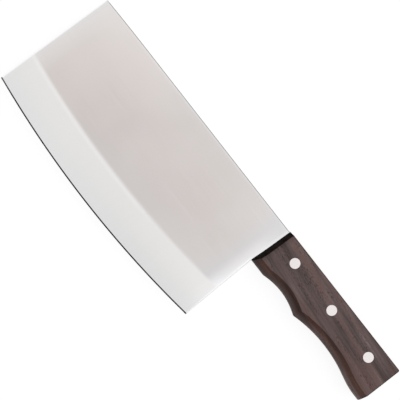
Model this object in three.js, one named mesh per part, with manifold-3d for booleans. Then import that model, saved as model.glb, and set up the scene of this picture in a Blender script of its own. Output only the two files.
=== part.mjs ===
// A Japanese kitchen cleaver lying on its side: one steel plate ground into a blade with a full tang,
// two wooden handle scales, and three two-piece rivets that hold the scales to the tang.
//
// Millimetres. +X runs from the blade's tip to the handle's butt, +Y from the edge to the spine, +Z up.
// The pieces are drawn with the spine on y = 0, the handle's front on x = 0 and the middle of the plate
// on z = 0. The whole group is then moved so that its box stands on the origin.

import * as THREE from "three";
import { mergeVertices } from "three/addons/utils/BufferGeometryUtils.js";
import Module from "manifold-3d";

const wasm = await Module();
wasm.setup();

// Driving dimensions: the blade

const edgeLength = 220; // straight across, between the two ends of the cutting edge
const bladeHeight = 104.6; // spine to the lowest point of the belly
const bellyDrop = 7.5; // the belly bows this far below the two ends of the edge
const plateThickness = 2;
const tipRake = 3.1; // the tip leans forward this far, from the spine to the edge
const heelRake = 1.7; // the heel leans back this far, from the handle to the edge
const bevelWidth = 30.5; // ground bevel, from its shoulder to the edge
const edgeThickness = 0.44; // steel left where the sharpened bevel starts
const sharpenedWidth = 1; // narrow sharpened bevel along the edge
const edgeLand = 0.06; // blunt land left at the very edge

// Driving dimensions: the handle, with places measured back from its front and depths down from the spine

const handleLength = 127.6;
const handleThickness = 20; // over both scales
const handleRise = 0.55; // the handle's back stands this far above the spine
const frontLean = 1.2; // the front leans this far towards the tip, from the spine to the underside
const frontBevel = 3.1; // slant of each scale's front end, seen in plan
const undersideChamfer = 6.8; // chamfer along the underside of each scale, equal both ways
const edgeBreak = 0.8; // small chamfer along the back and the butt of each scale
const frontDepth = 34.8; // the short straight run of the underside behind the heel
const frontRun = 12.8;
const fingerPlace = 30.5; // the finger hollow at its deepest
const fingerDepth = 31.9;
const cuspPlace = 49.8; // the ridge between the two hollows
const cuspDepth = 35.7;
const palmPlace = 80.3; // the palm hollow at its deepest
const palmDepth = 31.2;
const palmEase = 23; // how far the palm hollow runs level before it turns down
const tailEase = 14.5; // how far the tail runs level before it turns up
const tailSetback = 4.5; // the tail is deepest this far before the butt
const tailDepth = 36.5;

// Driving dimensions: the rivets

const rivetHeadDiameter = 8;
const rivetHeadDepth = 3;
const rivetTubeDiameter = 5;
const rivetPinDiameter = 3;
const rivetPinLead = 0.5; // chamfer on the pin's end
const rivetDepth = 11.4; // rivet line below the spine
const frontRivetSetback = 19.5; // from the handle's front
const rearRivetSetback = 21.9; // from the butt

// Fits

const rivetClearance = 0.1; // round the rivets and between their two halves
const bondLine = 0.05; // glue between each scale and the tang

// Facets

const curveSteps = 12; // along each curve of the handle's underside, and along the belly
const bevelSteps = 48; // along the ground bevels
const roundSides = 32; // round each rivet
const weldDistance = 1e-4; // corners closer than this are one corner

// Sizes that follow from the driving dimensions

const halfPlate = plateThickness / 2;
const faceHeight = handleThickness / 2;
const edgeEndHeight = bladeHeight - bellyDrop;
const heel = { x: heelRake - frontLean, y: -edgeEndHeight };
const tip = { x: heel.x - edgeLength, y: -edgeEndHeight };
const spineStart = tip.x + tipRake;
const tailPlace = handleLength - tailSetback;
const rivetHole = rivetTubeDiameter + 2 * rivetClearance;
const rivetRecess = rivetHeadDiameter + 2 * rivetClearance;
const underHead = faceHeight - rivetHeadDepth;
const reach = handleThickness; // cutting shapes stand this far past what they cut

// The cutting edge is part of a circle with its centre above the spine

const edgeRadius = (edgeLength ** 2 / 4 + bellyDrop ** 2) / (2 * bellyDrop);
const edgeHalfAngle = Math.asin(edgeLength / 2 / edgeRadius);
const edgeCentre = { x: (heel.x + tip.x) / 2, y: edgeRadius - bladeHeight };

// Finishes

const steel = { color: 0xd3cfcc, metalness: 1, roughness: 0.28 };
const rosewood = { color: 0x5c4c48, metalness: 0, roughness: 0.45 };
const rivetMetal = { color: 0xe9e5e5, metalness: 1, roughness: 0.22 };

/** The edge's arc as a path, from before the tip to past the heel. */
class EdgePath extends THREE.Curve {
  getPoint(t, target = new THREE.Vector3()) {
    const overrun = reach / edgeRadius;
    const angle = (edgeHalfAngle + overrun) * (2 * t - 1);
    const x = edgeCentre.x + edgeRadius * Math.sin(angle);
    const y = edgeCentre.y - edgeRadius * Math.cos(angle);
    return target.set(x, y, 0);
  }
}

/** Turns a closed geometry into a solid that can be cut and joined. */
function solid(geometry) {
  const bare = geometry.index ? geometry.toNonIndexed() : geometry.clone();
  bare.deleteAttribute("normal");
  bare.deleteAttribute("uv");
  const merged = mergeVertices(bare, weldDistance);
  return new wasm.Manifold(
    new wasm.Mesh({
      numProp: 3,
      vertProperties: new Float32Array(merged.attributes.position.array),
      triVerts: new Uint32Array(merged.index.array),
    }),
  );
}

/** Turns a solid back into a geometry. */
function geometryOf(shape) {
  const { vertProperties, triVerts, numProp } = shape.getMesh();
  const geometry = new THREE.BufferGeometry();
  const vertices = new THREE.InterleavedBuffer(vertProperties, numProp);
  geometry.setAttribute("position", new THREE.InterleavedBufferAttribute(vertices, 3, 0));
  geometry.setIndex(new THREE.BufferAttribute(triVerts, 1));
  const loose = geometry.toNonIndexed();
  loose.computeVertexNormals();
  return loose;
}

/** Makes a named piece with its own material. */
function piece(name, geometry, finish) {
  const mesh = new THREE.Mesh(geometry, new THREE.MeshStandardMaterial(finish));
  mesh.name = name;
  return mesh;
}

/** A flat outline drawn up from one height to another, leaning in x and y for each millimetre of height. */
function prism(outline, bottom, top, lean = { x: 0, y: 0 }) {
  const settings = { depth: top - bottom, bevelEnabled: false, curveSegments: curveSteps };
  const geometry = new THREE.ExtrudeGeometry(outline, settings);
  geometry.applyMatrix4(new THREE.Matrix4().makeShear(0, 0, 0, 0, lean.x, lean.y));
  geometry.translate(0, 0, bottom);
  return solid(geometry);
}

/** An upright cylinder between two heights. */
function rod(place, diameter, bottom, top) {
  const geometry = new THREE.CylinderGeometry(diameter / 2, diameter / 2, top - bottom, roundSides);
  geometry.rotateX(Math.PI / 2);
  geometry.translate(place.x, place.y, (top + bottom) / 2);
  return solid(geometry);
}

/** The handle's front at a given height: 0 at the spine, leaning towards the tip below it. */
function frontAt(y) {
  return (frontLean * y) / frontDepth;
}

/** Draws the underside from the butt to the front: tail, palm hollow, ridge, finger hollow, straight run. */
function drawUnderside(outline) {
  outline.lineTo(handleLength, -tailDepth);
  outline.lineTo(tailPlace, -tailDepth);
  outline.bezierCurveTo(
    tailPlace - tailEase, -tailDepth,
    palmPlace + palmEase, -palmDepth,
    palmPlace, -palmDepth,
  );
  outline.quadraticCurveTo((palmPlace + cuspPlace) / 2, -palmDepth, cuspPlace, -cuspDepth);
  outline.quadraticCurveTo((cuspPlace + fingerPlace) / 2, -fingerDepth, fingerPlace, -fingerDepth);
  outline.quadraticCurveTo((fingerPlace + frontRun) / 2, -fingerDepth, frontRun, -frontDepth);
  outline.lineTo(frontAt(-frontDepth), -frontDepth);
}

/** The handle in plan, with its back at a given height. */
function handleOutline(back) {
  const outline = new THREE.Shape();
  outline.moveTo(frontAt(back), back);
  outline.lineTo(handleLength, back);
  drawUnderside(outline);
  outline.closePath();
  return outline;
}

/** The steel plate in plan: spine, tang, heel, belly and tip. */
function plateOutline() {
  const outline = new THREE.Shape();
  outline.moveTo(spineStart, 0);
  outline.lineTo(0, 0);
  outline.lineTo(frontAt(handleRise), handleRise);
  outline.lineTo(handleLength, handleRise);
  drawUnderside(outline);
  outline.lineTo(heel.x, heel.y);
  const down = -Math.PI / 2;
  const [heelAngle, tipAngle] = [down + edgeHalfAngle, down - edgeHalfAngle];
  outline.absarc(edgeCentre.x, edgeCentre.y, edgeRadius, heelAngle, tipAngle, true);
  outline.closePath();
  return outline;
}

/** What the grinder takes off one side of the blade: the wide bevel, and the sharpened bevel at the edge. */
function grinding(side) {
  const slope = (halfPlate - edgeThickness / 2) / (bevelWidth - sharpenedWidth);
  const runOut = bevelWidth + halfPlate / slope;
  const section = new THREE.Shape(
    [
      [edgeLand / 2, -reach],
      [edgeLand / 2, 0],
      [edgeThickness / 2, sharpenedWidth],
      [plateThickness, runOut],
      [plateThickness, -reach],
    ].map(([height, inward]) => new THREE.Vector2(-side * height, inward)),
  );
  const settings = { steps: bevelSteps, bevelEnabled: false, extrudePath: new EdgePath() };
  return solid(new THREE.ExtrudeGeometry(section, settings));
}

/** Places of the three rivets, from the front to the rear. */
function rivetPlaces() {
  const front = frontRivetSetback;
  const rear = handleLength - rearRivetSetback;
  const along = { front, middle: (front + rear) / 2, rear };
  return Object.entries(along).map(([name, x]) => ({ name, x, y: -rivetDepth }));
}

function makeBlade() {
  let plate = prism(plateOutline(), -halfPlate, halfPlate);
  plate = plate.subtract(grinding(1)).subtract(grinding(-1));
  for (const place of rivetPlaces()) {
    plate = plate.subtract(rod(place, rivetHole, -plateThickness, plateThickness));
  }
  return piece("blade", geometryOf(plate), steel);
}

/** A bar along x, set cornerwise, which breaks a sharp edge. */
function edgeBar(length) {
  const across = edgeBreak * Math.SQRT2;
  return new THREE.BoxGeometry(length, across, across).rotateX(Math.PI / 4);
}

/** One scale above the tang: the handle's outline, its slanted front and its chamfered underside. */
function scaleSolid() {
  const bottom = halfPlate + bondLine;
  let scale = prism(handleOutline(handleRise), bottom, faceHeight);

  const chamferStart = faceHeight - undersideChamfer;
  const chamfered = prism(handleOutline(handleRise + reach), 0, reach, { x: 0, y: 1 });
  scale = scale.intersect(chamfered.translate(0, -chamferStart, 0));

  const behindFront = new THREE.Shape();
  behindFront.moveTo(frontAt(reach), reach);
  behindFront.lineTo(handleLength + reach, reach);
  behindFront.lineTo(handleLength + reach, -tailDepth - reach);
  behindFront.lineTo(frontAt(-tailDepth - reach), -tailDepth - reach);
  const slant = { x: frontBevel / (faceHeight - bottom), y: 0 };
  const slanted = prism(behindFront, 0, reach, slant);
  scale = scale.intersect(slanted.translate(-slant.x * bottom, 0, 0));

  const backBreak = edgeBar(handleLength + 2 * reach);
  backBreak.translate(handleLength / 2, handleRise, faceHeight);
  const buttBreak = edgeBar(tailDepth + 2 * reach).rotateZ(Math.PI / 2);
  buttBreak.translate(handleLength, -tailDepth / 2, faceHeight);
  scale = scale.subtract(solid(backBreak)).subtract(solid(buttBreak));

  for (const place of rivetPlaces()) {
    scale = scale.subtract(rod(place, rivetHole, 0, faceHeight));
    scale = scale.subtract(rod(place, rivetRecess, underHead - rivetClearance, reach));
  }
  return scale;
}

function makeScales() {
  const geometry = geometryOf(scaleSolid());
  const front = piece("front_scale", geometry, rosewood);
  const back = piece("back_scale", geometry.clone(), rosewood);
  back.scale.z = -1;
  return [front, back];
}

/** A turned piece from a profile of [radius, height] points, standing upright. */
function turned(profile) {
  const points = profile.map(([radius, height]) => new THREE.Vector2(radius, height));
  return new THREE.LatheGeometry(points, roundSides).rotateX(Math.PI / 2);
}

/** The rivet's solid half: a head flush with the front scale, and a pin that reaches into the tube. */
function rivetPin() {
  const pinEnd = -underHead + rivetClearance;
  const pinRadius = rivetPinDiameter / 2;
  return turned([
    [0, pinEnd],
    [pinRadius - rivetPinLead, pinEnd],
    [pinRadius, pinEnd + rivetPinLead],
    [pinRadius, underHead],
    [rivetHeadDiameter / 2, underHead],
    [rivetHeadDiameter / 2, faceHeight],
    [0, faceHeight],
  ]);
}

/** The rivet's hollow half: a head flush with the back scale, and a tube that takes the pin. */
function rivetTube() {
  const bore = rivetPinDiameter / 2 + rivetClearance;
  return turned([
    [0, -faceHeight],
    [rivetHeadDiameter / 2, -faceHeight],
    [rivetHeadDiameter / 2, -underHead],
    [rivetTubeDiameter / 2, -underHead],
    [rivetTubeDiameter / 2, underHead - rivetClearance],
    [bore, underHead - rivetClearance],
    [bore, -underHead],
    [0, -underHead],
  ]);
}

function makeRivets() {
  const rivets = new THREE.Group();
  for (const { name, x, y } of rivetPlaces()) {
    const rivet = new THREE.Group();
    rivet.position.set(x, y, 0);
    rivet.add(piece(`${name}_rivet_pin`, rivetPin(), rivetMetal));
    rivet.add(piece(`${name}_rivet_tube`, rivetTube(), rivetMetal));
    rivets.add(rivet);
  }
  return rivets;
}

const handle = new THREE.Group();
handle.add(...makeScales(), makeRivets());

const cleaver = new THREE.Group();
cleaver.name = "japanese_cleaver";
cleaver.add(makeBlade(), handle);
cleaver.position.set(-(tip.x + handleLength) / 2, (bladeHeight - handleRise) / 2, faceHeight);

export default cleaver;
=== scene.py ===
"""The looks of a Japanese kitchen cleaver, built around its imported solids.

The knife lies on its back scale. It is drawn in its own axes: x runs back from the handle's front, y up
from the spine and z out of the plate's middle, and every piece is then moved into the row frame. Lengths
are metres. Sizes are written in millimetres, times MM.
"""

import logging
import math
from dataclasses import dataclass
from enum import Enum
from functools import reduce
from typing import Any

import bmesh
import bpy
import numpy as np
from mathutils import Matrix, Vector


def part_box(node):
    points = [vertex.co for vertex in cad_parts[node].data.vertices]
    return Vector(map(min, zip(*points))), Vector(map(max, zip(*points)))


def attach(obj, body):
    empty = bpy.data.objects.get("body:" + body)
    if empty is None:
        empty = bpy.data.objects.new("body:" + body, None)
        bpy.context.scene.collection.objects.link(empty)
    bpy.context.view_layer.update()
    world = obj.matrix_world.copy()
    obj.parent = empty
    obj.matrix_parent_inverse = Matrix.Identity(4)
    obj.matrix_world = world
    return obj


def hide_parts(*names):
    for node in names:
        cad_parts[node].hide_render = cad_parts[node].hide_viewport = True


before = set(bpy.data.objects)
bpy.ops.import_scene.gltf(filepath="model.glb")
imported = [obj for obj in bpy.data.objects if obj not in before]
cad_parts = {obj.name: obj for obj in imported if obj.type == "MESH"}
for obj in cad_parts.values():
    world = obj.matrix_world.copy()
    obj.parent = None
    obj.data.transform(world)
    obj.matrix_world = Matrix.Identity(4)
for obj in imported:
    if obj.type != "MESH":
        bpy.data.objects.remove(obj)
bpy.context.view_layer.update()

MM = 0.001
WELD = 1e-7  # corners closer than this are one corner
NOISE_SPAN = (0.3, 0.7)  # most of a noise's values lie in this span
BODY = "root"
LOG = logging.getLogger("cleaver")

Array = np.ndarray
Colour = tuple[float, float, float, float]


class Slot(Enum):
    """The record's material slots."""

    STEEL = "blade_steel"
    WOOD = "handle_wood"
    RIVET = "rivet_metal"


class Side(Enum):
    """The two sides of the knife, as the way that each faces along z."""

    FRONT = 1
    BACK = -1


@dataclass(frozen=True)
class Fade:
    """A smooth change from a first level to a last one, over a run from start to end."""

    start: float
    end: float
    first: float = 0.0
    last: float = 1.0


def noise_fade(first: float, last: float) -> Fade:
    """A change of level over the span that most of a noise's values fill."""
    return Fade(*NOISE_SPAN, first, last)


def smooth_max(a: Array, b: Array, width: float) -> Array:
    """The higher of two heights, eased where they meet.

    Within width of each other, the corner is filled by a parabola: max + (width - |a - b|)^2 / (4 width).

    Args:
        a: First heights.
        b: Second heights.
        width: Difference in height below which the two are blended.

    Returns:
        The blended heights.
    """
    overlap = np.clip(width - np.abs(a - b), 0, None)
    return np.maximum(a, b) + overlap**2 / (4 * width)


def grid_quads(numbers: Array) -> Array:
    """Quads between the neighbouring rows and columns of a grid of corner numbers.

    Args:
        numbers: Corner numbers, as rows and columns.

    Returns:
        One row of four corner numbers for each quad.
    """
    corners = [numbers[:-1, :-1], numbers[:-1, 1:], numbers[1:, 1:], numbers[1:, :-1]]
    return np.stack(corners, axis=-1).reshape(-1, 4)


def ring_quads(numbers: Array) -> Array:
    """Quads of a grid whose last column joins its first."""
    return grid_quads(np.concatenate([numbers, numbers[:, :1]], axis=1))


def make_piece(name: str, points: Array, quads: Array) -> bpy.types.Object:
    """Makes a closed piece from corners and quads.

    Corners at one place become one corner, which closes seams and poles, and the faces are turned outwards.

    Args:
        name: The piece's name.
        points: Corners, in the row frame.
        quads: Four corner numbers for each face.

    Returns:
        The new object, at the origin.
    """
    mesh = bpy.data.meshes.new(name)
    mesh.from_pydata(points.tolist(), [], quads.tolist())
    closed = bmesh.new()
    closed.from_mesh(mesh)
    bmesh.ops.remove_doubles(closed, verts=closed.verts, dist=WELD)
    bmesh.ops.recalc_face_normals(closed, faces=closed.faces)
    closed.to_mesh(mesh)
    closed.free()
    piece = bpy.data.objects.new(name, mesh)
    bpy.context.scene.collection.objects.link(piece)
    return piece


def turned_piece(name: str, profile: Array, centres: Array, sides: int) -> bpy.types.Object:
    """A turned shape at one or more places.

    The profile (radius, height) goes round each centre: x + radius cos, y + radius sin, z + height.

    Args:
        name: The piece's name.
        profile: Radius and height of each point, from the axis round to the axis again.
        centres: One row for each place, in the row frame.
        sides: Steps round the axis.

    Returns:
        The new object.
    """
    angle = np.linspace(0, 2 * np.pi, sides, endpoint=False)
    radius, height = profile[:, 0, None], profile[:, 1, None]
    flat = [radius * np.cos(angle), radius * np.sin(angle), height + 0 * angle]
    shape = np.stack(flat, axis=-1).reshape(1, -1, 3)
    points = (shape + centres[:, None, :]).reshape(-1, 3)
    numbers = np.arange(len(points)).reshape(len(centres), len(profile), sides)
    quads = np.concatenate([ring_quads(part) for part in numbers])
    return make_piece(name, points, quads)


def drill(piece: bpy.types.Object, cutter: bpy.types.Object) -> None:
    """Cuts a shape out of a piece and removes the cutting shape.

    Args:
        piece: What is cut.
        cutter: The closed shape to take away.
    """
    cut = piece.modifiers.new("drill", "BOOLEAN")
    cut.operation = "DIFFERENCE"
    cut.solver = "EXACT"
    cut.object = cutter
    depsgraph = bpy.context.evaluated_depsgraph_get()
    drilled = bpy.data.meshes.new_from_object(piece.evaluated_get(depsgraph))
    piece.modifiers.clear()
    uncut = piece.data
    piece.data = drilled
    drilled.name = piece.name
    bpy.data.meshes.remove(uncut)
    bpy.data.objects.remove(cutter)


def smooth(piece: bpy.types.Object, crease: float) -> None:
    """Shades a piece smooth, apart from edges sharper than an angle."""
    piece.data.shade_smooth()
    piece.data.set_sharp_from_angle(angle=crease)


class Graph:
    """A node tree, with short calls that add nodes and join them."""

    def __init__(self, tree: bpy.types.NodeTree) -> None:
        """Empties the tree, ready for new nodes."""
        self.tree = tree
        tree.nodes.clear()

    def add(self, kind: str, inputs: dict[Any, Any] | None = None, **settings: Any) -> bpy.types.Node:
        """Adds a node.

        Args:
            kind: Blender's name for the node.
            inputs: Socket name or number, to a value or to the socket that feeds it.
            settings: The node's own settings.

        Returns:
            The new node.
        """
        node = self.tree.nodes.new(kind)
        for name, value in settings.items():
            setattr(node, name, value)
        for name, value in (inputs or {}).items():
            if isinstance(value, bpy.types.NodeSocket):
                self.tree.links.new(value, node.inputs[name])
            else:
                node.inputs[name].default_value = value
        return node

    def math(self, operation: str, *values: Any) -> bpy.types.NodeSocket:
        """Result of a math node on numbers or sockets."""
        node = self.add("ShaderNodeMath", dict(enumerate(values)), operation=operation)
        return node.outputs[0]

    def fade(self, value: Any, fade: Fade) -> bpy.types.NodeSocket:
        """Level of a fade at a value."""
        inputs = {"Value": value, 1: fade.start, 2: fade.end, 3: fade.first, 4: fade.last}
        return self.add("ShaderNodeMapRange", inputs, interpolation_type="SMOOTHSTEP").outputs[0]

    def product(self, *values: Any) -> bpy.types.NodeSocket:
        """Product of two or more numbers or sockets."""
        return reduce(lambda a, b: self.math("MULTIPLY", a, b), values)

    def parts(self, vector: Any) -> tuple[bpy.types.NodeSocket, ...]:
        """The x, y and z of a vector."""
        return tuple(self.add("ShaderNodeSeparateXYZ", {0: vector}).outputs)

    def ramp(self, value: Any, stops: tuple[tuple[float, Colour], ...]) -> bpy.types.NodeSocket:
        """Colour of a ramp at a value.

        Args:
            value: The place on the ramp.
            stops: Place and colour of each stop, in order.

        Returns:
            The socket that holds the colour.
        """
        node = self.add("ShaderNodeValToRGB", {"Fac": value})
        elements = node.color_ramp.elements
        for element, (place, colour) in zip(elements, (stops[0], stops[-1])):
            element.position = place
            element.color = colour
        for place, colour in stops[1:-1]:
            elements.new(place).color = colour
        return node.outputs[0]

    def blend(self, share: Any, first: Any, second: Any) -> bpy.types.NodeSocket:
        """Mixes two colours or sockets by a share."""
        node = self.add("ShaderNodeMix", {0: share, 6: first, 7: second}, data_type="RGBA")
        return node.outputs[2]

    def shade(self, colour: Any, level: Any) -> bpy.types.NodeSocket:
        """Multiplies a colour by a level."""
        node = self.add("ShaderNodeVectorMath", {0: colour, 3: level}, operation="SCALE")
        return node.outputs[0]

    def tint(self, colour: Any, tint: Any) -> bpy.types.NodeSocket:
        """Multiplies a colour by another, channel by channel."""
        node = self.add("ShaderNodeVectorMath", {0: colour, 1: tint}, operation="MULTIPLY")
        return node.outputs[0]

    def bump(self, strength: float, distance: float, height: Any) -> bpy.types.NodeSocket:
        """Normal of a bumpy surface, from its height."""
        inputs = {"Strength": strength, "Distance": distance, "Height": height}
        return self.add("ShaderNodeBump", inputs).outputs[0]

    def streaks(
        self,
        place: Any,
        size: tuple[float, float, float],
        detail: float = 2,
        turn: float = 0.0,
        start: tuple[float, float, float] = (0.0, 0.0, 0.0),
    ) -> bpy.types.NodeSocket:
        """Noise drawn out along its longest side.

        Args:
            place: The coordinates to read.
            size: Length of its features along x, y and z.
            detail: Finer layers of the noise.
            turn: Angle of the streaks about z, in radians.
            start: Where the noise starts.

        Returns:
            The socket that holds the noise, from 0 to 1.
        """
        inputs = {"Vector": place, "Location": start, "Rotation": (0, 0, turn), "Scale": size}
        drawn = self.add("ShaderNodeMapping", inputs, vector_type="TEXTURE")
        noise = self.add("ShaderNodeTexNoise", {"Vector": drawn.outputs[0], "Scale": 1.0, "Detail": detail})
        return noise.outputs[0]

    def surface(self, inputs: dict[str, Any]) -> None:
        """Ends the tree with a Principled shader."""
        shader = self.add("ShaderNodeBsdfPrincipled", inputs)
        self.add("ShaderNodeOutputMaterial", {"Surface": shader.outputs[0]})


def new_material(name: str) -> tuple[bpy.types.Material, Graph]:
    """Makes an empty material.

    Args:
        name: The material's name.

    Returns:
        The material and its node tree.
    """
    material = bpy.data.materials.new(name)
    material.use_nodes = True
    return material, Graph(material.node_tree)


def behind_front(graph: Graph, along: Any, depth: Any) -> bpy.types.NodeSocket:
    """Distance behind the handle's leaning front, from the place along the knife and below its spine."""
    return graph.math("MULTIPLY_ADD", depth, Handle.front_lean / Handle.front_depth, along)


@dataclass(frozen=True)
class BladePlace:
    """Where a point of the blade lies, as sockets.

    Its distances behind the handle's front and below the spine, its place down the ground bevel as
    Blade.mark_grind stores it, and its share of the painted heel highlight.
    """

    along: Any
    depth: Any
    grind: Any
    glow: Any


@dataclass(frozen=True)
class SteelFinish:
    """Buffed stainless steel: faint hairlines along the flats, grinding lines across the bevels, and rougher
    walls. Its colour also carries painted light: painted reflections on the flats, painted highlights at the
    heel and along the bevel's shoulder, painted shade on the walls, beside the shoulder and down the bevel,
    and a painted dark reflection on the sharpened edge.

    Fades that end in along, depth and grind run over the measures of BladePlace.
    """

    handle_front: float
    spine: float
    flat: Colour = (0.745, 0.735, 0.73, 1)
    # warm, cool and tip are painted reflections on the flats: warmer towards the tip, cooler near the handle,
    # lighter at the tip's end.
    warm: Colour = (0.765, 0.731, 0.716, 1)
    cool: Colour = (0.718, 0.726, 0.742, 1)
    tip: Colour = (0.788, 0.778, 0.774, 1)
    ground: Colour = (0.825, 0.815, 0.805, 1)
    # ground_low and ground_heel are painted shade: the bevel darker down towards the edge, and darker still
    # near the heel.
    ground_low: Colour = (0.78, 0.78, 0.78, 1)
    ground_heel: Colour = (0.737, 0.737, 0.737, 1)
    # heel is a painted highlight, near white, laid on the heel and beside the handle's front.
    heel: Colour = (0.925, 0.936, 0.955, 1)
    # edge is painted shade: it darkens the walls round the plate's outline.
    edge: Colour = (0.31, 0.305, 0.30, 1)
    # bright_ends_and_painted_highlight lightens the rounded tip and heel ends, and is also a painted
    # highlight along the bevel's shoulder.
    bright_ends_and_painted_highlight: Colour = (0.95, 0.95, 0.955, 1)
    # dark_edge_reflection is a painted dark reflection, near black, along the sharpened edge.
    dark_edge_reflection: Colour = (0.10, 0.098, 0.096, 1)
    # Where the painted reflections on the flats lie.
    warm_along: Fade = Fade(-200 * MM, -110 * MM, 1.0, 0.0)
    cool_along: Fade = Fade(-26 * MM, -8 * MM)
    tip_along: Fade = Fade(-219 * MM, -198 * MM, 1.0, 0.0)
    # pale_along and pale_depth paint a reflection gradient down the tip half: lighter near the spine, darker
    # further down.
    pale_along: Fade = Fade(-150 * MM, -110 * MM, 1.0, 0.0)
    pale_depth: Fade = Fade(0.0, 46 * MM, 0.045, -0.032)
    # Where the painted heel highlight lies, on the flats and on the bevel.
    heel_along: Fade = Fade(-14 * MM, -1.5 * MM)
    heel_upper_depth: Fade = Fade(4 * MM, 30 * MM, 0.1, 0.75)
    heel_lower_depth: Fade = Fade(50 * MM, 66 * MM, 0.0, 0.15)
    heel_grind: Fade = Fade(0.3, 0.9, 0.25, 0.0)
    # A painted highlight on the flats next to the handle's front.
    painted_halo_along: Fade = Fade(-2.8 * MM, -1.2 * MM, 0.0, 0.4)
    # Painted shade on the flats just above the bevel's shoulder.
    shoulder_grind: Fade = Fade(-0.75, -0.02, 1.0, 0.955)
    ground_grind: Fade = Fade(-0.035, 0.07)
    # Where the painted shade down the bevel and near the heel lies.
    low_grind: Fade = Fade(0.0, 1.0)
    low_along: Fade = Fade(-150 * MM, -20 * MM)
    # Where the painted highlight along the bevel's shoulder lies.
    rim_highlight_grind: Fade = Fade(0.02, 0.18, 0.32, 0.0)
    rim_highlight_along: Fade = Fade(-88 * MM, -62 * MM, 1.0, 0.0)
    # Where the painted dark reflection lies: the sharpened edge, fainter towards the tip.
    honed_grind: Fade = Fade(0.961, 0.972)
    honed_along: Fade = Fade(-220 * MM, -196 * MM, 0.5, 1.0)
    end_along: Fade = Fade(4 * MM, 5 * MM, 1.0, 0.0)
    end_depth: Fade = Fade(0.1 * MM, 0.7 * MM)
    end_facing: Fade = Fade(0.01, 0.035)
    # Faces turned away from z are walls: rougher, and painted darker as shade.
    wall_facing: Fade = Fade(0.94, 0.998, 1.0, 0.0)
    line_level: Fade = noise_fade(0.99, 1.007)
    streak_level: Fade = noise_fade(0.995, 1.005)
    cloud_level: Fade = noise_fade(0.985, 1.015)
    line_wear: float = 0.6
    cloud_wear: float = 0.4
    roughness: Fade = noise_fade(0.12, 0.19)
    wall_roughness: float = 0.33  # added to the roughness on walls
    bump: float = 0.03
    bump_depth: float = 0.02 * MM
    hairline_width: float = 0.25 * MM
    hairline_length: float = 45 * MM
    streak_width: float = 1.4 * MM
    streak_length: float = 120 * MM
    cloud_size: float = 55 * MM
    grind_attribute: str = "grind"

    def material(self) -> bpy.types.Material:
        """Builds the material.

        Returns:
            The finished material.
        """
        material, graph = new_material("buffed_steel")
        coordinates = graph.add("ShaderNodeTexCoord")
        place = coordinates.outputs["Object"]
        x, y, _ = graph.parts(place)
        facing_x, _, facing_z = graph.parts(coordinates.outputs["Normal"])
        wall = graph.fade(graph.math("ABSOLUTE", facing_z), self.wall_facing)
        along = graph.math("SUBTRACT", x, self.handle_front)
        depth = graph.math("SUBTRACT", self.spine, y)
        grind = graph.add("ShaderNodeAttribute", attribute_name=self.grind_attribute).outputs["Fac"]
        # Share of the painted heel highlight.
        glow = graph.math(
            "ADD",
            graph.fade(depth, self.heel_upper_depth),
            graph.fade(depth, self.heel_lower_depth),
        )
        at = BladePlace(along, depth, grind, graph.product(glow, graph.fade(along, self.heel_along)))

        ground = graph.fade(grind, self.ground_grind)
        colour = graph.blend(ground, self.flat_colour(graph, at), self.bevel_colour(graph, at))
        # Painted shade on the walls.
        colour = graph.blend(wall, colour, self.edge)
        # The rounded tip and heel ends are made lighter.
        ends = graph.product(
            graph.fade(graph.math("ABSOLUTE", facing_x), self.end_facing),
            graph.fade(along, self.end_along),
            graph.fade(depth, self.end_depth),
        )
        colour = graph.blend(ends, colour, self.bright_ends_and_painted_highlight)
        # Painted dark reflection along the sharpened edge.
        dark_edge_reflection = graph.product(graph.fade(grind, self.honed_grind), graph.fade(along, self.honed_along))
        colour = graph.blend(dark_edge_reflection, colour, self.dark_edge_reflection)

        lines = self.brushed(graph, place, ground, self.hairline_length, self.hairline_width)
        streaks = self.brushed(graph, place, ground, self.streak_length, self.streak_width)
        cloud = graph.streaks(place, (self.cloud_size,) * 3)
        level = graph.product(
            graph.fade(lines, self.line_level),
            graph.fade(streaks, self.streak_level),
            graph.fade(cloud, self.cloud_level),
        )
        wear = graph.math("ADD", graph.product(lines, self.line_wear), graph.product(cloud, self.cloud_wear))
        buffed = graph.fade(wear, self.roughness)
        graph.surface({
            "Base Color": graph.shade(colour, level),
            "Metallic": 1.0,
            "Roughness": graph.math("MULTIPLY_ADD", wall, self.wall_roughness, buffed),
            "Normal": graph.bump(self.bump, self.bump_depth, lines),
        })
        return material

    def flat_colour(self, graph: Graph, at: BladePlace) -> bpy.types.NodeSocket:
        """Colour of the flats, with painted reflections from the tip to the heel, painted shade beside the
        shoulder, and painted highlights at the heel and beside the handle's front.

        Args:
            graph: The material's nodes.
            at: A point's place on the blade.

        Returns:
            The socket that holds the colour.
        """
        # pale is a painted reflection gradient, painted_halo a painted highlight beside the handle's front.
        pale = graph.product(graph.fade(at.depth, self.pale_depth), graph.fade(at.along, self.pale_along))
        painted_halo = graph.fade(behind_front(graph, at.along, at.depth), self.painted_halo_along)
        # Painted reflections: warm towards the tip, cool near the handle and light at the tip's end; then
        # painted shade beside the shoulder and the painted heel highlight.
        flat = graph.blend(graph.fade(at.along, self.warm_along), self.flat, self.warm)
        flat = graph.blend(graph.fade(at.along, self.cool_along), flat, self.cool)
        flat = graph.shade(flat, graph.math("ADD", pale, 1.0))
        flat = graph.shade(flat, graph.fade(at.grind, self.shoulder_grind))
        flat = graph.blend(graph.fade(at.along, self.tip_along), flat, self.tip)
        flat = graph.blend(at.glow, flat, self.heel)
        return graph.blend(painted_halo, flat, self.heel)

    def bevel_colour(self, graph: Graph, at: BladePlace) -> bpy.types.NodeSocket:
        """Colour of the ground bevels: painted shade down towards the edge and near the heel, a painted
        highlight along the shoulder, and the painted heel highlight.

        Args:
            graph: The material's nodes.
            at: A point's place on the blade.

        Returns:
            The socket that holds the colour.
        """
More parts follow.
